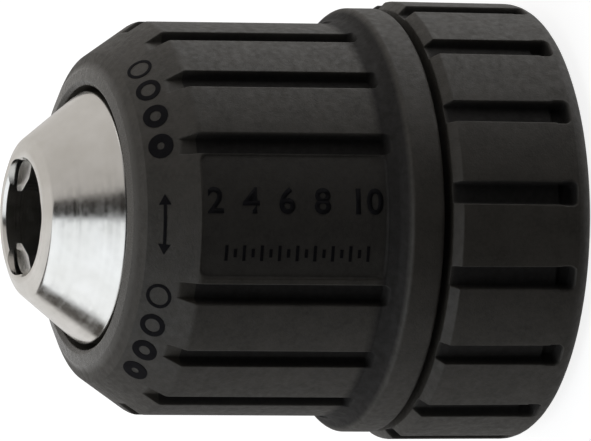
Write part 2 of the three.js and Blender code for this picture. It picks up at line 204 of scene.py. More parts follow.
def refined(outline, longest, heights=(), beyond=0.0):
    """The closed outline with its long sides split evenly to at most `longest`, and with points
    added where the part of it that lies beyond a radius crosses the given heights."""
    loop = np.vstack([outline, outline[:1]])
    length = np.concatenate([[0], np.cumsum(np.linalg.norm(np.diff(loop, axis=0), axis=1))])
    keep = [length[:-1]]
    for a, b in zip(length[:-1], length[1:]):
        parts = max(1, math.ceil((b - a) / longest))
        keep.append(a + (b - a) * np.arange(1, parts) / parts)
    for i in range(len(outline)):
        low, high = sorted((loop[i, 1], loop[i + 1, 1]))
        if min(loop[i, 0], loop[i + 1, 0]) < beyond or high - low < 1e-6:
            continue
        inside = [z for z in heights if low < z < high]
        share = (np.array(inside) - loop[i, 1]) / (loop[i + 1, 1] - loop[i, 1])
        keep.append(length[i] + share * (length[i + 1] - length[i]))
    place = np.unique(np.round(np.concatenate(keep), 4))
    return np.column_stack([np.interp(place, length, loop[:, k]) for k in (0, 1)])


def full_turn(count):
    """Equal angles once round, without the last, which would repeat the first."""
    return np.linspace(0, 2 * math.pi, count, endpoint=False)


def merged_angles(*groups, least=0.0012):
    """All the given angles within one turn, in order, without those closer than `least`."""
    turn = np.sort(np.mod(np.concatenate(groups), 2 * math.pi))
    keep = np.concatenate([[True], np.diff(turn) > least])
    return turn[keep]


# ---- meshes ----

def add_mesh(name, points, quads, triangles, layers=None, sharp=None):
    """A mesh object from millimetre points and faces, turned outwards by its signed volume, with
    named layers of one number per point for the finishes to read."""
    quads = np.asarray(quads, int).reshape(-1, 4)
    triangles = np.asarray(triangles, int).reshape(-1, 3)
    split = np.vstack([quads[:, [0, 1, 2]], quads[:, [0, 2, 3]], triangles])
    a, b, c = (points[split[:, k]] for k in range(3))
    if np.einsum("ij,ij->i", a, np.cross(b, c)).sum() < 0:
        quads, triangles = quads[:, ::-1], triangles[:, ::-1]
    mesh = bpy.data.meshes.new(name)
    corners = np.concatenate([quads.ravel(), triangles.ravel()])
    starts = np.concatenate([
        np.arange(len(quads)) * 4, len(quads) * 4 + np.arange(len(triangles)) * 3])
    mesh.vertices.add(len(points))
    mesh.vertices.foreach_set("co", (points * MM).ravel())
    mesh.loops.add(len(corners))
    mesh.loops.foreach_set("vertex_index", corners)
    mesh.polygons.add(len(starts))
    mesh.polygons.foreach_set("loop_start", starts)
    mesh.polygons.foreach_set("use_smooth", np.ones(len(starts), bool))
    mesh.update(calc_edges=True)
    for layer_name, values in (layers or {}).items():
        layer = mesh.attributes.new(layer_name, "FLOAT", "POINT")
        layer.data.foreach_set("value", values.ravel())
    if sharp is not None:
        mesh.set_sharp_from_angle(angle=math.radians(sharp))
    piece = bpy.data.objects.new(name, mesh)
    bpy.context.scene.collection.objects.link(piece)
    return piece


def wrapped_quads(rows, columns, close_rows=True, close_columns=True):
    """Quads of a grid of points numbered row by row, closed on itself where asked."""
    r = np.arange(rows if close_rows else rows - 1)[:, None]
    c = np.arange(columns if close_columns else columns - 1)[None]
    up, side = (r + 1) % rows, (c + 1) % columns
    cells = [r * columns + c, r * columns + side, up * columns + side, up * columns + c]
    return np.stack(cells, -1).reshape(-1, 4)


def turned_points(radius, z, angles):
    """Grid of points at each outline point's radius and height, at each angle round Z."""
    radius = np.broadcast_to(radius, (len(z), len(angles)))
    height = np.broadcast_to(z[:, None], radius.shape)
    return np.stack([radius * np.cos(angles), radius * np.sin(angles), height], -1)


def turned_mesh(name, radius, z, angles, layers=None):
    """A closed outline turned round Z, its radius given for each height and angle."""
    points = turned_points(radius, z, angles).reshape(-1, 3)
    return add_mesh(name, points, wrapped_quads(len(z), len(angles)), [], layers)


def capped_rod(points):
    """Quads and end fans of a grid whose rows are rings; the two pole points are added last."""
    rows, columns = points.shape[:2]
    flat = points.reshape(-1, 3)
    poles = np.array([points[0].mean(0), points[-1].mean(0)])
    ring = np.arange(columns)
    ahead = (ring + 1) % columns
    last = (rows - 1) * columns
    first_fan = np.column_stack([np.full(columns, len(flat)), ahead, ring])
    last_fan = np.column_stack([np.full(columns, len(flat) + 1), last + ring, last + ahead])
    quads = wrapped_quads(rows, columns, close_rows=False)
    return np.vstack([flat, poles]), quads, np.vstack([first_fan, last_fan])


def smooth_least(a, b, blend):
    """The smaller of two values, with a rounded change-over of width `blend`, and how near each
    point is to that change-over (0 to 1)."""
    share = np.clip(0.5 + 0.5 * (b - a) / blend, 0, 1)
    value = b * (1 - share) + a * share - blend * share * (1 - share)
    return value, 4 * share * (1 - share)


def rounded_box_distance(across, along, half_width, low, high, corner):
    """Distance from a rectangle with round corners, negative inside it."""
    dx = np.abs(across) - (half_width - corner)
    dz = np.abs(along - (low + high) / 2) - ((high - low) / 2 - corner)
    outside = np.hypot(np.maximum(dx, 0), np.maximum(dz, 0))
    return outside + np.minimum(np.maximum(dx, dz), 0) - corner


# ---- body ----

def socket_thread(outline, angles):
    """Radius of every body point: the outline's own, but where it runs along the spindle socket
    a right-hand screw groove is added, a wave of the height over the pitch plus the angle over
    a turn, faded in and out at the two ends of the thread."""
    radius, z = outline[:, :1], outline[:, 1:]
    phase = np.mod(z / SOCKET_PITCH - angles[None] / (2 * math.pi), 1)
    flank = np.clip(1.5 - np.abs(phase - 0.5) * 4, 0, 1)
    fade_in = np.clip((z - THREAD_START) / THREAD_FADE, 0, 1)
    fade_out = np.clip((SOCKET_DEPTH - THREAD_RUN_OUT - z) / THREAD_FADE, 0, 1)
    in_socket = (np.abs(radius - SOCKET_MINOR_RADIUS) < 0.01) & (z < SOCKET_DEPTH)
    depth = SOCKET_MAJOR_RADIUS - SOCKET_MINOR_RADIUS
    return radius + in_socket * (fade_in * fade_out) * flank * depth


def body_outline():
    """Hub, shoulder, narrow waist where the nut turns, barrel with the ring groove, nose cone
    with a rounded edge, stepped bore and the spindle socket with a lead-in."""
    ring_low, ring_high = (corner[2] for corner in span("sleeve_retaining_ring"))
    shoulder_z = span("thrust_race_rear")[0][2] - SEAT_GAP
    groove = BARREL_RADIUS - RING_GROOVE_DEPTH
    return rounded([
        (SOCKET_MAJOR_RADIUS + SOCKET_MOUTH_CLEARANCE, 0, 0),
        (HUB_RADIUS, 0, 0.5), (HUB_RADIUS, HUB_Z, 0.3),
        (shoulder_radius, HUB_Z, 0.3), (shoulder_radius, shoulder_z, 0.3),
        (WAIST_RADIUS, shoulder_z, 0.4), (WAIST_RADIUS, BARREL_Z, 0.4),
        (BARREL_RADIUS, BARREL_Z, 0.3),
        (BARREL_RADIUS, ring_low - SEAT_GAP, 0), (groove, ring_low - SEAT_GAP, 0.1),
        (groove, ring_high + SEAT_GAP, 0.1), (BARREL_RADIUS, ring_high + SEAT_GAP, 0),
        (BARREL_RADIUS, CONE_FOOT_Z, 0.5), (NOSE_EDGE_RADIUS, nose_z - 0.55, 0.9),
        (NOSE_FACE_RADIUS, nose_z, 0.5), (TOOL_BORE_RADIUS + BORE_CHAMFER, nose_z, 0.1),
        (TOOL_BORE_RADIUS, nose_z - BORE_CHAMFER, 0.1), (TOOL_BORE_RADIUS, TOOL_BORE_END_Z, 0.3),
        (SCREW_HOLE_RADIUS + BORE_CHAMFER, TOOL_BORE_END_Z, 0.1),
        (SCREW_HOLE_RADIUS, TOOL_BORE_END_Z - BORE_CHAMFER, 0.1),
        (SCREW_HOLE_RADIUS, SOCKET_DEPTH, 0.1), (SOCKET_MINOR_RADIUS, SOCKET_DEPTH, 0),
        (SOCKET_MINOR_RADIUS, SOCKET_LEAD_IN, 0),
    ], steps=5)


def along_jaw(points, turn):
    """Points given beside a jaw's axis (X outwards, Z along it, from the jaw's rear end at rest),
    leant inwards by the jaw's slant, put in place and turned round the chuck's axis."""
    lean = Matrix.Rotation(-JAW_SLANT, 3, "Y")
    place = np.array([JAW_AXIS_AT_REAR, 0, JAW_REAR_Z])
    swing = Matrix.Rotation(turn, 3, "Z")
    return (points @ np.array(lean).T + place) @ np.array(swing).T


def bore_cutter(name):
    """Three plain cylinders along the jaws' axes, from behind the open jaws to past the nose."""
    angles = full_turn(72)
    heights = np.linspace(-JAW_OPEN_TRAVEL - JAW_END_GAP, JAW_LENGTH + BORE_PAST_NOSE, 3)
    rod = turned_points(np.array([[JAW_BORE_RADIUS]]), heights, angles)
    points, quads, fans = capped_rod(rod)
    stack, four, three = [], [], []
    for k, turn in enumerate(JAW_TURNS):
        stack.append(along_jaw(points, turn))
        four.append(quads + k * len(points))
        three.append(fans + k * len(points))
    return add_mesh(name, np.vstack(stack), np.vstack(four), np.vstack(three))


def cut(piece, cutter):
    """Takes one closed mesh away from another and removes the cutter."""
    change = piece.modifiers.new("cut", "BOOLEAN")
    change.operation = "DIFFERENCE"
    change.solver = "EXACT"
    change.object = cutter
    with bpy.context.temp_override(object=piece, active_object=piece):
        bpy.ops.object.modifier_apply(modifier="cut")
    bpy.data.objects.remove(cutter)


def chuck_body():
    """The body's outline turned round Z with the screw groove in its socket, less the bores."""
    angles = full_turn(240)
    outline = body_outline()
    # ten rows to a pitch along the socket, so that the screw groove has a shape
    rows = np.arange(SOCKET_LEAD_IN + 0.1, SOCKET_DEPTH - 0.5, SOCKET_PITCH / 10)
    socket = np.column_stack([np.full(len(rows), SOCKET_MINOR_RADIUS), rows])[::-1]
    outline = refined(np.vstack([outline[:-1], socket, outline[-1:]]), 1.2)
    body = turned_mesh("turned_body", socket_thread(outline, angles), outline[:, 1], angles)
    cut(body, bore_cutter("bores"))
    body.data.set_sharp_from_angle(angle=math.radians(28))
    return body


# ---- jaws ----

def jaw(name, turn):
    """A rod as a grid of angle and height. Each point's radius is the least of the round rod, the
    toothed back, the flat grip face and its two slanting flanks, seen from a centre line that
    moves outwards from the rod's axis towards the tip, where the grip face passes that axis. The
    last rows end on the level tip plane."""
    angles = full_turn(96)
    cos_a, sin_a = np.cos(angles)[None], np.sin(angles)[None]
    length = np.linspace(0, 1, 260)[:, None]
    slant_sin, slant_cos = math.sin(JAW_SLANT), math.cos(JAW_SLANT)
    rise = JAW_TIP_Z - JAW_REAR_Z
    end = np.full((1, len(angles)), JAW_LENGTH)
    for _ in range(8):
        u = length * end
        shift = TIP_CENTRE_SHIFT * np.clip((u - TOOTHED_LENGTH - 1) / CENTRE_SHIFT_LENGTH, 0, 1)
        rod = JAW_RADIUS - JAW_CHAMFER * np.clip(1 - u / JAW_CHAMFER, 0, 1)
        radius = np.sqrt(rod ** 2 - (shift * sin_a) ** 2) - shift * cos_a
        wave = np.mod((u - FIRST_TOOTH) / TOOTH_PITCH + 0.25, 1)
        notch = np.clip(1.6 - np.abs(wave - 0.5) * 5, 0, 1) * TOOTH_DEPTH
        notch = notch * ((u > TEETH_START) & (u < TOOTHED_LENGTH))
        # each flat is divided by the cosine towards it; the least value keeps its far side away
        radius = np.minimum(radius, (JAW_RADIUS - notch - shift) / np.maximum(cos_a, 0.05))
        # the rod leans, so a step outwards along its radius is shorter seen from the axis
        reach = JAW_AXIS_AT_REAR - u * slant_sin + shift * slant_cos - GRIP_RADIUS
        face = reach / np.maximum(-cos_a * slant_cos, 0.02)
        side = reach + GRIP_HALF_WIDTH / math.sqrt(3)
        flank = side / np.maximum(np.abs(sin_a) / math.sqrt(3) - cos_a * slant_cos, 0.02)
        radius, _ = smooth_least(radius, face, JAW_EDGE_BLEND)
        radius, _ = smooth_least(radius, flank, JAW_EDGE_BLEND)
        across = shift + radius * cos_a
        end = (rise - across[-1:] * slant_sin) / slant_cos
    points = np.stack([across, radius * sin_a, u], -1)
    flat, quads, fans = capped_rod(points)
    flat[-1] = [TIP_CENTRE_SHIFT, 0, (rise - TIP_CENTRE_SHIFT * slant_sin) / slant_cos]
    return add_mesh(name, along_jaw(flat, turn), quads, fans, sharp=32)


# ---- sleeves ----

def groove_floor(across, z, half_width, low, high, floor_radius):
    """Radius of a moulded groove: flat inside a rounded rectangle, and from just inside its edge
    a wall that climbs by the wall slope times the distance from the rectangle."""
    distance = rounded_box_distance(across, z, half_width, low, high, GROOVE_CORNER)
    return floor_radius + GROOVE_WALL_SLOPE * np.maximum(distance, -GROOVE_WALL_FOOT)


def groove_angles(centres, half_width, radius):
    """Angles for a row of grooves: close together at the walls, wide apart between them."""
    steps = np.array([0, 0.5, 0.8, 0.94, 1.0, 1.04, 1.08, 1.12, 1.16, 1.2, 1.3, 1.6, 2.2]) - 1
    across = half_width * (1 + steps)
    offsets = np.concatenate([-across, across]) / radius
    return (np.array(centres)[:, None] + offsets[None]).ravel()


def nearest_offset(angles, centres):
    """Angle from each given direction to the nearest of the centres."""
    gap = angles[:, None] - np.array(centres)[None]
    gap = np.mod(gap + math.pi, 2 * math.pi) - math.pi
    return gap[np.arange(len(angles)), np.abs(gap).argmin(1)]


def front_sleeve():
    """Flange, hollow flare, barrel, cone and bevelled lip turned round Z. Fifteen grooves run up
    the barrel and out on the cone, and a shallow panel takes the place of the sixteenth."""
    outline = rounded([
        (SLEEVE_BORE_RADIUS, sleeve_z, 0.3), (flange_radius, sleeve_z, 0.55),
        (flange_radius, FLANGE_Z, 0.45), (BARREL_SLEEVE_RADIUS + 0.42, FLARE_Z - 0.95, 0.9),
        (BARREL_SLEEVE_RADIUS, FLARE_Z + 0.1, 0.6), (BARREL_SLEEVE_RADIUS, SHOULDER_Z, 1.0),
        (LIP_RADIUS, LIP_Z, 0.3), (BEVEL_RADIUS, mouth_z - 0.25, 0.2),
        (MOUTH_RADIUS + 0.4, mouth_z, 0.2),
        (MOUTH_RADIUS, mouth_z - 0.3, 0.2), (MOUTH_RADIUS, SHOULDER_Z + 0.1, 0.2),
        (SLEEVE_BORE_RADIUS, SHOULDER_Z, 0.5),
    ])
    groove_end = FLARE_Z - 0.2
    # extra rows where the grooves end, and where they run out on the cone
    close = np.concatenate([groove_end + np.linspace(-0.5, 0.7, 17), [SHOULDER_Z - 0.4]])
    climb = np.linspace(SHOULDER_Z - 0.6, SHOULDER_Z + 2.2, 20)
    outline = refined(outline, 0.9, np.concatenate([close, climb]), beyond=15)
    centres = [FRONT + k * PITCH for k in range(1, 16)]
    panel_edge = np.array([-0.5, -0.3, -0.15, -0.05, 0.05, 0.15, 0.3]) / BARREL_SLEEVE_RADIUS
    angles = merged_angles(
        groove_angles(centres, FRONT_GROOVE / 2, BARREL_SLEEVE_RADIUS),
        FRONT - PANEL_LOW + panel_edge, FRONT - PANEL_HIGH - panel_edge,
        full_turn(96))
    radius, z = np.broadcast_to(outline[:, :1], (len(outline), len(angles))), outline[:, 1:]
    across = nearest_offset(angles, centres) * BARREL_SLEEVE_RADIUS
    floor = groove_floor(across[None], z, FRONT_GROOVE / 2, groove_end, mouth_z,
                         BARREL_SLEEVE_RADIUS - FRONT_GROOVE_DEPTH)
    outer = radius > SLEEVE_BORE_RADIUS + 0.4
    # the change-over at the groove edges is painted paler in the finish: partly rubbing of the
    # edges, partly a painted highlight
    grooved, wear_and_highlight = smooth_least(radius, floor, GROOVE_EDGE_BLEND)
    middle = FRONT - (PANEL_LOW + PANEL_HIGH) / 2
    around = nearest_offset(angles, [middle]) * BARREL_SLEEVE_RADIUS
    half = (PANEL_HIGH - PANEL_LOW) / 2 * BARREL_SLEEVE_RADIUS
    beside = rounded_box_distance(around[None], z, half, FLARE_Z + 0.3, SHOULDER_Z + 0.1, 0.9)
    panel = BARREL_SLEEVE_RADIUS - PANEL_DEPTH + 2 * np.maximum(beside, 0)
    recessed, _ = smooth_least(grooved, panel, 0.1)
    # only the outside is cut: the bore keeps the outline's radius
    radius = np.where(outer, recessed, radius)
    # painted shade: the groove floors and the flare's hollow are painted dark in the finish
    depth = np.clip((outline[:, :1] - radius) / 0.5, 0, 1) * (z < SHOULDER_Z)
    hollow = np.clip((z - FLANGE_Z - 0.15) / 0.3, 0, 1) * np.clip((FLARE_Z + 0.9 - z) / 0.7, 0, 1)
    # the lip's bevel is made smoother, and painted paler in the finish as a painted highlight
    bevel = (outline[:, :1] < BEVEL_RADIUS + 0.3) & (z > LIP_Z)
    layers = {
        "wear_and_highlight": np.where(outer, wear_and_highlight, 0),
        "painted_recess_shade": np.where(outer, np.maximum(depth, hollow), 0),
        "polish_and_highlight": np.broadcast_to(bevel, radius.shape).astype(float),
    }
    return turned_mesh("grip_sleeve_front", radius, outline[:, 1], angles, layers)


def rear_sleeve():
    """A slightly tapered ring with a front chamfer and a rounded rear edge, turned round Z, with
    sixteen grooves that are open at the front, deepen to the rear and end in a small pocket."""
    rear_edge = rear_radius - REAR_TAPER
    bush_radius = span("rear_sleeve_bush")[1][0]
    bore = bush_radius + BUSH_CLEARANCE
    lip, lip_z = bush_radius - REAR_LIP_WIDTH, rear_z + REAR_LIP_THICKNESS
    outline = rounded([
        (lip, rear_z, 0.2), (rear_edge, rear_z, REAR_ROUNDING),
        (rear_radius, rear_end_z - REAR_CHAMFER, 0.3),
        (rear_radius - REAR_CHAMFER, rear_end_z, 0.25),
        (bore, rear_end_z, 0.2), (bore, lip_z, 0.1), (lip, lip_z, 0.1),
    ], steps=8)
    groove_end = rear_z + REAR_GROOVE_START
    # extra rows where the grooves end, and at the front of their pockets
    close = np.concatenate([np.linspace(-0.5, 0.7, 15), 1.3 + np.linspace(-0.3, 0.3, 5)])
    close = groove_end + close
    outline = refined(outline, 0.9, close, beyond=bush_radius + 1)
    centres = [FRONT - REAR_OFFSET + k * PITCH for k in range(16)]
    angles = merged_angles(groove_angles(centres, REAR_GROOVE / 2, rear_radius),
                           full_turn(96))
    radius, z = np.broadcast_to(outline[:, :1], (len(outline), len(angles))), outline[:, 1:]
    across = nearest_offset(angles, centres) * rear_radius
    to_rear = np.clip((rear_end_z - z) / (rear_end_z - groove_end), 0, 1)
    deep = REAR_GROOVE_DEPTH + REAR_GROOVE_DEEPENING * to_rear
    pocket = POCKET_DEPTH * np.clip((groove_end + POCKET_LENGTH - z) / 0.3, 0, 1)
    floor = groove_floor(across[None], z, REAR_GROOVE / 2, groove_end, rear_end_z + 2,
                         rear_radius - deep - pocket)
    outer = (radius > bush_radius + 1) & (z > rear_z + 0.3)
    # the change-over at the groove edges is painted paler in the finish: partly rubbing of the
    # edges, partly a painted highlight
    grooved, wear_and_highlight = smooth_least(radius, floor, GROOVE_EDGE_BLEND)
    radius = np.where(outer, grooved, radius)
    layers = {
        "wear_and_highlight": np.where(outer, wear_and_highlight, 0),
        # painted shade: the groove floors are painted dark in the finish
        "painted_recess_shade": np.clip((outline[:, :1] - radius) / 0.5, 0, 1),
        "polish_and_highlight": np.zeros(radius.shape),
    }
    return turned_mesh("grip_sleeve_rear", radius, outline[:, 1], angles, layers)


# ---- markings: a row of opening signs, a row of closing signs, an arrow and a plain scale ----

def flat_text(name, words, height):
    """Lettering as a mesh in its own plane, centred, in millimetres: width X, height Y."""
    curve = bpy.data.curves.new(name, "FONT")
    curve.body = words
    curve.size = height / 0.7  # a figure is 0.7 of the font's size
    curve.align_x, curve.align_y = "CENTER", "CENTER"
    curve.offset = height * 0.03  # a little bolder
    curve.resolution_u = 5
    letters = bpy.data.objects.new(name, curve)
    bpy.context.scene.collection.objects.link(letters)
    bpy.context.view_layer.update()
    mesh = bpy.data.meshes.new_from_object(letters)
    bpy.data.objects.remove(letters)
    return mesh


def wrap_flat(name, mesh, place):
    """A flat mesh laid on a surface and sunk a little into it: `place` gives the surface point and
    outward normal for each flat point, and a thickness outwards gives the mesh its sides."""
    flat = np.zeros(len(mesh.vertices) * 3)
    mesh.vertices.foreach_get("co", flat)
    flat = flat.reshape(-1, 3)
    points, normal = place(flat[:, 0], flat[:, 1])
    mesh.vertices.foreach_set("co", ((points + normal * -MARK_SINK) * MM).ravel())
    mesh.update()
    piece = bpy.data.objects.new(name, mesh)
    bpy.context.scene.collection.objects.link(piece)
    wall = piece.modifiers.new("thickness", "SOLIDIFY")
    wall.thickness = (MARK_THICKNESS + MARK_SINK) * MM
    wall.offset = 1
    return piece


def on_cone(middle, slant_middle):
    """Marks that run round the sleeve's cone, their tops to the rear: flat X is an arc about
    the middle angle, flat Y is a step down the cone's slope from the lip."""
    rise = np.array([BARREL_SLEEVE_RADIUS - LIP_RADIUS, SHOULDER_Z - LIP_Z])
    rise = rise / np.linalg.norm(rise)
    around = LIP_RADIUS + slant_middle * rise[0]

    def place(x, y):
        turn = FRONT - middle - x / around
        radius = LIP_RADIUS + (slant_middle + y) * rise[0]
        z = LIP_Z + (slant_middle + y) * rise[1]
        out = np.stack([np.cos(turn), np.sin(turn)], -1)
        points = np.column_stack([out * radius[:, None], z])
        normal = np.column_stack([out * -rise[1], np.full(len(turn), rise[0])])
        return points, normal
    return place


def on_panel(middle, z_middle):
    """Marks along the barrel that read from the nose to the rear, on the panel's floor."""
    radius = BARREL_SLEEVE_RADIUS - PANEL_DEPTH

    def place(x, y):
        turn = FRONT - middle + y / radius
        out = np.stack([np.cos(turn), np.sin(turn)], -1)
        points = np.column_stack([out * radius, z_middle - x])
        return points, np.column_stack([out, np.zeros(len(turn))])
    return place


def bore_signs(name, holes, size, spacing):
    """A row of flat rings of one outer size, centred: each ring's hole is its own share of that
    size, so the row reads as a bore that opens or closes."""
    count = 32
    turn = full_turn(count)
    circle = np.column_stack([np.cos(turn), np.sin(turn), np.zeros(count)])
    middles = (np.arange(len(holes)) - (len(holes) - 1) / 2) * spacing
    rings = [np.stack([circle, circle * hole]) * size / 2 + [middle, 0, 0]
             for hole, middle in zip(holes, middles)]
    quads = wrapped_quads(2, count, close_rows=False)
    faces = [quads + 2 * count * k for k in range(len(holes))]
    mesh = bpy.data.meshes.new(name)
    mesh.from_pydata(np.concatenate(rings).reshape(-1, 3).tolist(), [], np.vstack(faces).tolist())
    mesh.update()
    return mesh


def scale_ticks(name, count, spacing, width, short, tall):
    """A row of flat upright strokes, every second one taller."""
    x = (np.arange(count) - (count - 1) / 2) * spacing
    height = np.where(np.arange(count) % 2 == 0, tall, short) / 2
    corners = [(-1, -1), (1, -1), (1, 1), (-1, 1)]
    points = np.stack([np.column_stack([x + a * width / 2, b * height, np.zeros(count)])
                       for a, b in corners], 1)
    mesh = bpy.data.meshes.new(name)
    mesh.from_pydata(points.reshape(-1, 3).tolist(), [],
                     np.arange(4 * count).reshape(-1, 4).tolist())
    mesh.update()
    return mesh


def arrow_mesh(name, half_length, width, head, wing):
    """A flat double-headed arrow: a strip in short steps, which can bend to a surface, with a
    triangle at each end."""
    count = 17
    x = np.linspace(-half_length + head, half_length - head, count)
    strip = np.stack([np.column_stack([x, np.full(count, s * width / 2), np.zeros(count)])
                      for s in (-1, 1)])
    tips = np.array([[s * half_length, 0, 0] for s in (-1, 1)])
    wings = np.array([[s * (half_length - head), t * wing, 0]
                      for s in (-1, 1) for t in (-1, 1)])
    points = np.vstack([strip.reshape(-1, 3), tips, wings])
    k = np.arange(count - 1)
    quads = np.column_stack([k, k + 1, k + count + 1, k + count]).tolist()
    tip = 2 * count
    heads = [[tip, tip + 2, tip + 3], [tip + 1, tip + 5, tip + 4]]
    mesh = bpy.data.meshes.new(name)
    mesh.from_pydata(points.tolist(), [], quads + heads)
    mesh.update()
    return mesh


# ---- finishes ----

class Finish:
    """A node material and short ways to add to it."""

    def __init__(self, name, colour, roughness, metallic=0.0):
        self.material = bpy.data.materials.new(name)
        self.material.use_nodes = True
        self.tree = self.material.node_tree
        self.shader = self.tree.nodes["Principled BSDF"]
        self.shader.inputs["Base Color"].default_value = (*colour, 1)
        self.shader.inputs["Roughness"].default_value = roughness
        self.shader.inputs["Metallic"].default_value = metallic
        self.place = self.node("ShaderNodeTexCoord").outputs["Object"]

    def node(self, kind, **settings):
        made = self.tree.nodes.new(kind)
        for key, value in settings.items():
            setattr(made, key, value)
        return made

    def link(self, source, target):
        self.tree.links.new(source, target)

    def math(self, operation, a, b=None):
        made = self.node("ShaderNodeMath", operation=operation)
        for socket, value in zip(made.inputs, (a, b)):
            if hasattr(value, "links"):
                self.link(value, socket)
            elif value is not None:
                socket.default_value = value
        return made.outputs[0]

    def noise(self, scale, detail=3.0, vector=None, roughness=0.5):
        made = self.node("ShaderNodeTexNoise")
        made.inputs["Scale"].default_value = scale
        made.inputs["Detail"].default_value = detail
        made.inputs["Roughness"].default_value = roughness
        self.link(vector or self.place, made.inputs["Vector"])
        return made.outputs["Fac"]

    def mapped(self, value, low, high, to_low, to_high):
        made = self.node("ShaderNodeMapRange")
        self.link(value, made.inputs["Value"])
        for key, number in zip(("From Min", "From Max", "To Min", "To Max"),
                               (low, high, to_low, to_high)):
            made.inputs[key].default_value = number
        return made.outputs["Result"]

    def tints(self, factor, low, high):
        made = self.node("ShaderNodeMix", data_type="RGBA")
        self.link(factor, made.inputs["Factor"])
        for index, tint in ((6, low), (7, high)):
            if hasattr(tint, "links"):
                self.link(tint, made.inputs[index])
            else:
                made.inputs[index].default_value = (*tint, 1)
        return made.outputs[2]

    def colour(self, source):
        self.link(source, self.shader.inputs["Base Color"])

    def roughness(self, source):
        self.link(source, self.shader.inputs["Roughness"])

    def bump(self, height, depth_mm, before=None):
        made = self.node("ShaderNodeBump")
        made.inputs["Distance"].default_value = depth_mm * MM
        made.inputs["Strength"].default_value = 1.0
        self.link(height, made.inputs["Height"])
        if before:
            self.link(before, made.inputs["Normal"])
        self.link(made.outputs["Normal"], self.shader.inputs["Normal"])
        return made.outputs["Normal"]

    def rings(self, per_mm):
        """Noise that only changes with height plus distance from the axis: tool rings."""
        parts = self.node("ShaderNodeSeparateXYZ")
        self.link(self.place, parts.inputs[0])
        x, y, z = parts.outputs
        square = self.math("ADD", self.math("MULTIPLY", x, x), self.math("MULTIPLY", y, y))
        along = self.math("ADD", self.math("SQRT", square), z)
        made = self.node("ShaderNodeTexNoise", noise_dimensions="1D")
        made.inputs["Scale"].default_value = per_mm / MM
        made.inputs["Detail"].default_value = 2
        self.link(along, made.inputs["W"])
        return made.outputs["Fac"]


def sleeve_plastic():
    """Moulded dark plastic: fine spark-eroded texture, cloudy colour, paler edges that are partly
    rubbing and partly a painted highlight, dull recesses painted dark as shade, and a smooth bevel
    at the mouth painted paler as a highlight."""
    made = Finish("sleeve_plastic", (0.04, 0.037, 0.032), 0.6)
    cloud = made.mapped(made.noise(420, 4), 0.35, 0.65, 0, 1)
    speck = made.mapped(made.noise(2600, 2), 0.3, 0.7, 0, 1)
    base = made.tints(cloud, (0.031, 0.0272, 0.0218), (0.046, 0.0405, 0.0335))
    base = made.tints(made.math("MULTIPLY", speck, 0.45), base, (0.064, 0.057, 0.047))
    # groove edges painted paler: partly rubbing, partly a painted highlight
    wear_and_highlight = made.node("ShaderNodeAttribute", attribute_name="wear_and_highlight").outputs["Fac"]
    rubbing_and_highlight = made.math("MULTIPLY", wear_and_highlight, made.mapped(made.noise(900, 3), 0.35, 0.75, 0.1, 0.5))
    worn_and_highlighted = made.tints(rubbing_and_highlight, base, (0.11, 0.105, 0.095))
    # painted shade: groove floors and the flare's hollow are mixed towards near-black, and made
    # duller
    painted_recess_shade = made.node("ShaderNodeAttribute", attribute_name="painted_recess_shade").outputs["Fac"]
    # painted highlight: the lip's bevel gets a paler colour; it is also made smoother below
    polish_and_highlight = made.node("ShaderNodeAttribute", attribute_name="polish_and_highlight").outputs["Fac"]
    pale = made.tints(polish_and_highlight, worn_and_highlighted, (0.075, 0.070, 0.062))
    made.colour(made.tints(made.math("MULTIPLY", painted_recess_shade, 0.8), pale, (0.009, 0.008, 0.008)))
    grain = made.mapped(made.noise(1500, 3), 0.3, 0.7, 0.5, 0.68)
    dull = made.math("ADD", grain, made.math("MULTIPLY", painted_recess_shade, 0.25))
    made.roughness(made.math("SUBTRACT", dull, made.math("MULTIPLY", polish_and_highlight, 0.32)))
    fine = made.bump(made.noise(5200, 3, roughness=0.65), 0.035)
    made.bump(made.noise(700, 2), 0.03, fine)
    return made.material


def turned_steel():
    """Bright turned steel: tool rings, a cloudy tint and an unevenly polished face."""
    made = Finish("turned_steel", (0.74, 0.715, 0.68), 0.16, 1.0)
    rings = made.rings(9)
    cloud = made.noise(260, 3)
    cloud = made.mapped(cloud, 0.3, 0.7, 0, 1)
    made.colour(made.tints(cloud, (0.70, 0.68, 0.64), (0.80, 0.78, 0.75)))
    made.roughness(made.mapped(made.math("ADD", rings, made.noise(1200, 4)), 0.7, 1.3, 0.12, 0.26))
    made.bump(rings, 0.0022)
    return made.material


def ground_steel(name, colour, roughness, grain=(1, 1, 0.05), scale=4200, depth=0.002):
    """Ground steel: fine scratches drawn out along one direction, and cloudy polishing."""
    made = Finish(name, colour, roughness, 1.0)
    stretch = made.node("ShaderNodeMapping")
    stretch.inputs["Scale"].default_value = grain
    made.link(made.place, stretch.inputs["Vector"])
    scratches = made.noise(scale, 3, stretch.outputs["Vector"])
    darker = tuple(0.82 * part for part in colour)
    made.colour(made.tints(made.mapped(made.noise(500, 3), 0.3, 0.7, 0, 1), darker, colour))
    made.roughness(made.mapped(scratches, 0.3, 0.7, roughness * 0.75, roughness * 1.3))
    made.bump(scratches, depth)
    return made.material


def marking_ink():
    """Matt black marking, slightly uneven."""
    made = Finish("marking_ink", (0.004, 0.004, 0.006), 0.75)
    made.shader.inputs["Specular IOR Level"].default_value = 0.12
    made.colour(made.tints(made.noise(1500, 3), (0.002, 0.002, 0.003), (0.011, 0.010, 0.012)))
    made.bump(made.noise(4000, 2), 0.01)
    return made.material


# ---- pieces on their bodies ----

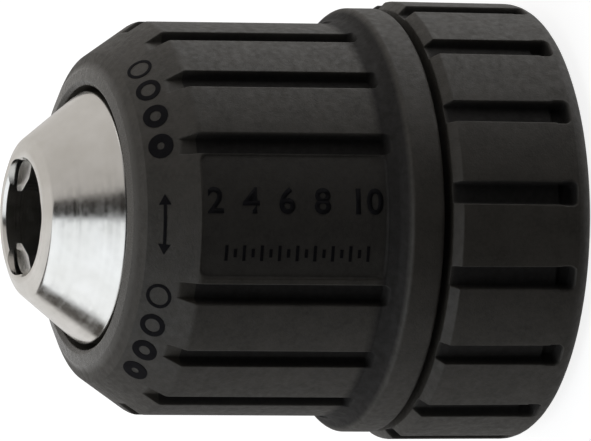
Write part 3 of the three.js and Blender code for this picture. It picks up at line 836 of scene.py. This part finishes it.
plastic = sleeve_plastic()
steel = turned_steel()
jaw_steel = ground_steel("jaw_steel", (0.72, 0.71, 0.69), 0.2, depth=0.0008)
hard_steel = ground_steel("hardened_steel", (0.52, 0.52, 0.53), 0.28, (1, 1, 1))
ball_steel = ground_steel("ball_steel", (0.68, 0.68, 0.69), 0.1, (1, 1, 1), 900)
bush_steel = ground_steel("bush_steel", (0.20, 0.20, 0.205), 0.5, (0.1, 0.1, 1))
spring_steel = ground_steel("spring_steel", (0.07, 0.07, 0.078), 0.36, (1, 1, 0.2))
brass = ground_steel("cage_brass", (0.66, 0.49, 0.24), 0.34, (1, 0.1, 1))
ink = marking_ink()


def settle(piece, body, slot, finish, *nodes):
    """Gives a new piece its body and its finish, and hides the nodes it stands for; the record
    slot is not used.
    """
    piece.data.materials.clear()
    piece.data.materials.append(finish)
    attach(piece, body)
    if nodes:
        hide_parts(*nodes)


def refinish(node, finish):
    """A new finish on a node that keeps its own mesh."""
    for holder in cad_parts[node].material_slots:
        holder.material = finish


settle(chuck_body(), "chuck", "turned_steel", steel, "chuck_body")
for number, turn in enumerate(JAW_TURNS, 1):
    name = f"jaw_{number}"
    settle(jaw(f"gripping_{name}", turn), name, "jaw_steel", jaw_steel, name)
settle(front_sleeve(), "sleeve", "sleeve_plastic", plastic, "front_sleeve")
settle(rear_sleeve(), "chuck", "sleeve_plastic", plastic, "rear_sleeve")

marks = [
    ("opening_signs", bore_signs("opening_signs", SIGN_HOLES, SIGN_SIZE, SIGN_SPACING),
     on_cone(math.radians(-41), MARK_SLANT)),
    ("closing_signs", bore_signs("closing_signs", SIGN_HOLES, SIGN_SIZE, SIGN_SPACING),
     on_cone(math.radians(43), MARK_SLANT)),
    ("turn_arrow", arrow_mesh("turn_arrow", half_length=2.9, width=0.3, head=1.0, wing=0.62),
     on_cone(math.radians(2), MARK_SLANT)),
    ("scale_numbers", flat_text("scale_numbers", "2  4  6  8  10", height=2.4),
     on_panel(math.radians(-5), SHOULDER_Z - 9.3)),
    ("scale_ticks",
     scale_ticks("scale_ticks", count=17, spacing=0.9, width=0.3, short=0.8, tall=1.5),
     on_panel(math.radians(10), SHOULDER_Z - 9.6)),
]
for name, mesh, place in marks:
    settle(wrap_flat(name, mesh, place), "sleeve", "sleeve_plastic", ink)

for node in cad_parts:
    if node.startswith("bearing_ball"):
        refinish(node, ball_steel)
    elif node.startswith(("nut_half", "thrust_race")):
        refinish(node, hard_steel)
refinish("nut_band", spring_steel)
refinish("sleeve_retaining_ring", spring_steel)
refinish("ball_cage", brass)
refinish("rear_sleeve_bush", bush_steel)


# ---- floor, light and camera ----

FLOOR_HALF = 1.2  # metres
FLOOR_GAP = 0.0001  # metres
SKY_STRENGTH = 1.25
# heading in degrees from the camera's side, positive to +X, how pale the panel is there, and how
# warm its tint
UPPER_PANELS = [
    (-180, 0.60, 0.01), (-140, 0.60, 0.01), (-135, 0.06, 0.08), (-120, 0.06, 0.08),
    (-114, 0.92, -0.04), (-60, 0.95, -0.05), (-5, 0.88, -0.05), (2, 0.02, 0.08),
    (28, 0.02, 0.08), (35, 0.38, 0.03), (90, 0.43, 0.03), (180, 0.50, 0.03),
]
LOWER_PANELS = [
    (-180, 0.3, 0.0), (-125, 0.35, 0.0), (-95, 0.45, 0.0), (-60, 0.25, 0.0), (-32, 0.01, 0.0),
    (34, 0.01, 0.0), (62, 0.4, 0.0), (84, 1.0, 0.0), (125, 1.0, 0.0), (150, 0.4, 0.0),
    (180, 0.3, 0.0),
]
# the upper panels begin where height plus this share of the way to the rear passes the edge value,
# so they are low behind the chuck and high above the camera; the softness is to each side of it
CEILING_SLOPE = 0.6
CEILING_EDGE = 0.31
CEILING_SOFTNESS = 0.12


def pale_floor():
    """A wide plain floor under the chuck; it takes a faint shadow and throws no light back."""
    corners = [(x * FLOOR_HALF, y * FLOOR_HALF, cad_box[0][2] - FLOOR_GAP)
               for x, y in ((-1, -1), (1, -1), (1, 1), (-1, 1))]
    mesh = bpy.data.meshes.new("floor")
    mesh.from_pydata(corners, [], [(0, 1, 2, 3)])
    floor = bpy.data.objects.new("floor", mesh)
    bpy.context.scene.collection.objects.link(floor)
    paint = bpy.data.materials.new("floor")
    paint.use_nodes = True
    shader = paint.node_tree.nodes["Principled BSDF"]
    shader.inputs["Base Color"].default_value = (0.35, 0.35, 0.35, 1)
    shader.inputs["Roughness"].default_value = 0.9
    shader.inputs["Specular IOR Level"].default_value = 0.0
    shader.inputs["Emission Color"].default_value = (1, 1, 1, 1)
    shader.inputs["Emission Strength"].default_value = 0.86
    mesh.materials.append(paint)
    floor.visible_diffuse = False
    floor.visible_glossy = False
    floor.visible_shadow = False


def studio():
    """Soft studio light as a sky of pale and dark panels, set by heading: one ring of panels above
    a slanting edge and another below it, blended across that edge."""
    world = bpy.data.worlds.new("studio")
    world.use_nodes = True
    tree = world.node_tree

    def arithmetic(operation, *values):
        made = tree.nodes.new("ShaderNodeMath")
        made.operation = operation
        for socket, value in zip(made.inputs, values):
            if hasattr(value, "links"):
                tree.links.new(value, socket)
            else:
                socket.default_value = value
        return made.outputs[0]

    parts = tree.nodes.new("ShaderNodeSeparateXYZ")
    tree.links.new(tree.nodes.new("ShaderNodeTexCoord").outputs["Generated"], parts.inputs[0])
    x, y, z = parts.outputs
    heading = arithmetic("ARCTAN2", x, arithmetic("MULTIPLY", y, -1))
    share = tree.nodes.new("ShaderNodeMapRange")
    tree.links.new(heading, share.inputs["Value"])
    share.inputs["From Min"].default_value = -math.pi
    share.inputs["From Max"].default_value = math.pi

    def panels(stops):
        ramp = tree.nodes.new("ShaderNodeValToRGB")
        tree.links.new(share.outputs["Result"], ramp.inputs["Fac"])
        elements = ramp.color_ramp.elements
        while len(elements) > 1:
            elements.remove(elements[-1])
        for number, (degrees, level, warmth) in enumerate(stops):
            position = degrees / 360 + 0.5
            point = elements[0] if number == 0 else elements.new(position)
            point.position = position
            point.color = (level * (1 + warmth), level, level * (1 - warmth), 1)
        return ramp.outputs["Color"]

    height = tree.nodes.new("ShaderNodeMapRange")
    height.interpolation_type = "SMOOTHSTEP"
    tree.links.new(arithmetic("MULTIPLY_ADD", y, CEILING_SLOPE, z), height.inputs["Value"])
    height.inputs["From Min"].default_value = CEILING_EDGE - CEILING_SOFTNESS
    height.inputs["From Max"].default_value = CEILING_EDGE + CEILING_SOFTNESS
    mix = tree.nodes.new("ShaderNodeMix")
    mix.data_type = "RGBA"
    tree.links.new(height.outputs["Result"], mix.inputs["Factor"])
    tree.links.new(panels(LOWER_PANELS), mix.inputs[6])
    tree.links.new(panels(UPPER_PANELS), mix.inputs[7])
    background = tree.nodes["Background"]
    tree.links.new(mix.outputs[2], background.inputs["Color"])
    background.inputs["Strength"].default_value = SKY_STRENGTH
    bpy.context.scene.world = world


def camera():
    """Looks at the chuck from 19.7 degrees in front of square to its axis, rolled so that the
    nose points left, through a long lens."""
    tilt, roll, lens, sensor = math.radians(19.7), math.radians(0.5), 1100, 36
    frame_width = 57.15 * MM
    back = Vector((0, -math.cos(tilt), math.sin(tilt)))
    up = Vector((1, 0, 0))
    right = up.cross(back)
    turn = Matrix((right, up, back)).transposed() @ Matrix.Rotation(roll, 3, "Z")
    target = Vector((-0.1 * MM, 0, 23.7 * MM))
    data = bpy.data.cameras.new("camera")
    data.lens, data.sensor_width = lens, sensor
    data.clip_start, data.clip_end = 0.01, 10
    eye = bpy.data.objects.new("camera", data)
    place = target + back * (frame_width * lens / sensor)
    eye.matrix_world = Matrix.Translation(place) @ turn.to_4x4()
    bpy.context.scene.collection.objects.link(eye)
    bpy.context.scene.camera = eye


pale_floor()
studio()
camera()
bpy.context.scene.view_settings.view_transform = "Standard"
